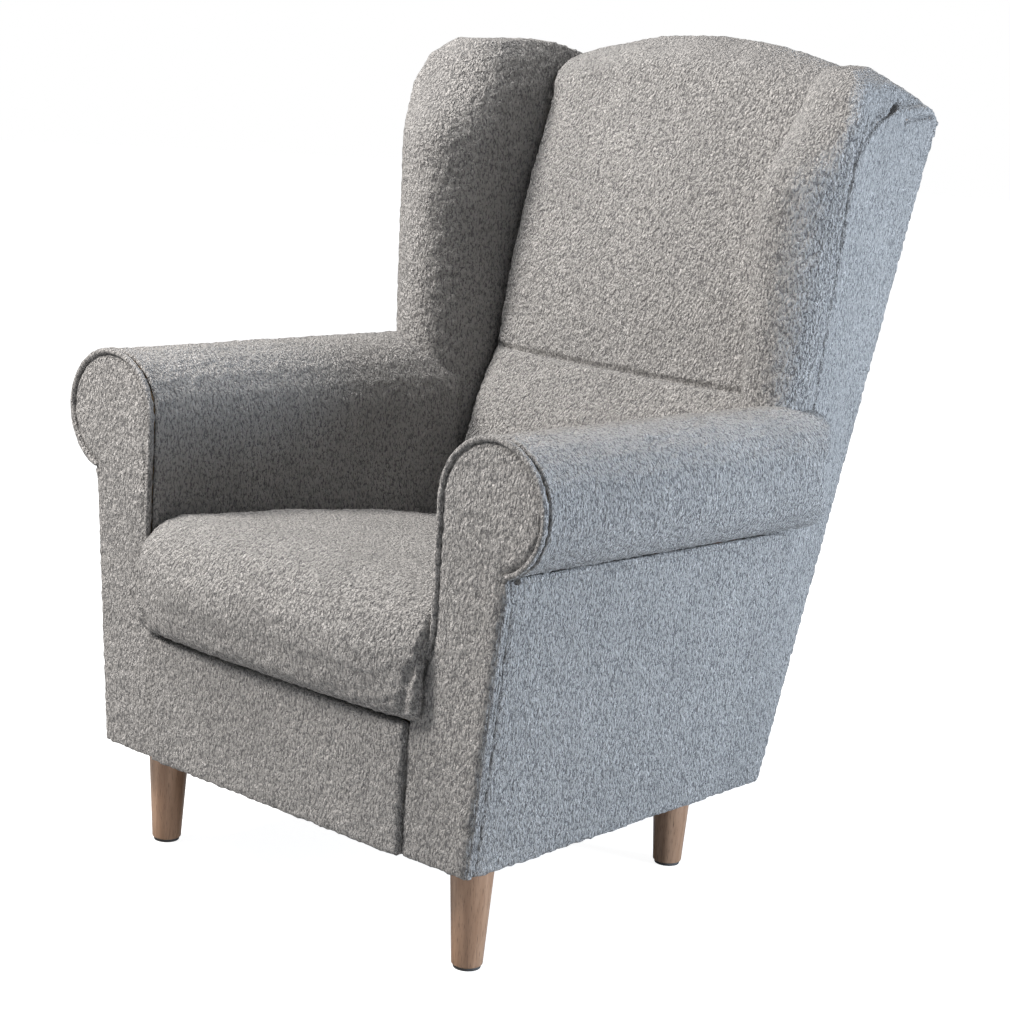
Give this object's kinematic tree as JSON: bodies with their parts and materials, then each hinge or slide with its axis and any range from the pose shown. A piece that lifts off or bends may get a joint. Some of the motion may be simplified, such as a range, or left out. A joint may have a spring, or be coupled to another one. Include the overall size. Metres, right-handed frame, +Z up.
{
  "type": "wing-back armchair",
  "caption": "Upholstered wing-back armchair with rolled scroll arms, sprung seat, arched back and tapered wooden legs, covered in curly boucle fabric",
  "frame": {"origin": "on the floor, under the middle of the chair's outer box", "axes": "+Z up, the sitter faces -Y, +X is the sitter's left hand"},
  "size_m": [0.822, 0.893, 1.07],
  "materials": {
    "boucle_fabric": "matte curly pile",
    "foam": "open-cell foam and wadding",
    "plywood": "raw",
    "frame_beech": "raw",
    "leg_beech": "satin lacquer",
    "hardboard": "raw",
    "steel": "bright",
    "webbing": "woven elastic",
    "dust_cloth": "non-woven",
    "glide_plastic": "moulded"
  },
  "bodies": {
    "root": {"arm_cover_left": "boucle_fabric", "arm_cover_right": "boucle_fabric", "arm_facing_left": "boucle_fabric", "arm_facing_right": "boucle_fabric", "arm_front_board_left": "plywood", "arm_front_board_right": "plywood", "arm_rail_left": "frame_beech", "arm_rail_right": "frame_beech", "arm_roll_foam_left": "foam", "arm_roll_foam_right": "foam", "arm_welt_left": "boucle_fabric", "arm_welt_right": "boucle_fabric", "back_cover_upper": "boucle_fabric", "back_foam": "foam", "back_liner": "hardboard", "back_middle_rail": "frame_beech", "back_post_left": "frame_beech", "back_post_right": "frame_beech", "back_top_rail": "frame_beech", "back_webbing": "webbing", "dust_cover": "dust_cloth", "facing_padding_left": "foam", "facing_padding_right": "foam", "front_cover": "boucle_fabric", "front_padding": "foam", "front_rail": "frame_beech", "inner_arm_foam_left": "foam", "inner_arm_foam_right": "foam", "inner_arm_panel_left": "hardboard", "inner_arm_panel_right": "hardboard", "leg_block_left": "frame_beech", "leg_block_right": "frame_beech", "leg_bolts": "steel", "leg_front_left": "leg_beech", "leg_front_right": "leg_beech", "leg_glides": "glide_plastic", "leg_nuts": "steel", "leg_rear_left": "leg_beech", "leg_rear_right": "leg_beech", "lumbar_cover": "boucle_fabric", "outside_back_cover": "boucle_fabric", "rear_leg_rail": "frame_beech", "rear_rail": "frame_beech", "seat_cover": "boucle_fabric", "seat_foam": "foam", "seat_springs": "steel", "side_cover_left": "boucle_fabric", "side_cover_right": "boucle_fabric", "side_liner_left": "hardboard", "side_liner_right": "hardboard", "side_rail_left": "frame_beech", "side_rail_right": "frame_beech", "spring_clips": "steel", "wing_board_left": "plywood", "wing_board_right": "plywood", "wing_cover_left": "boucle_fabric", "wing_cover_right": "boucle_fabric", "wing_foam_left": "foam", "wing_foam_right": "foam"}
  },
  "joints": []
}
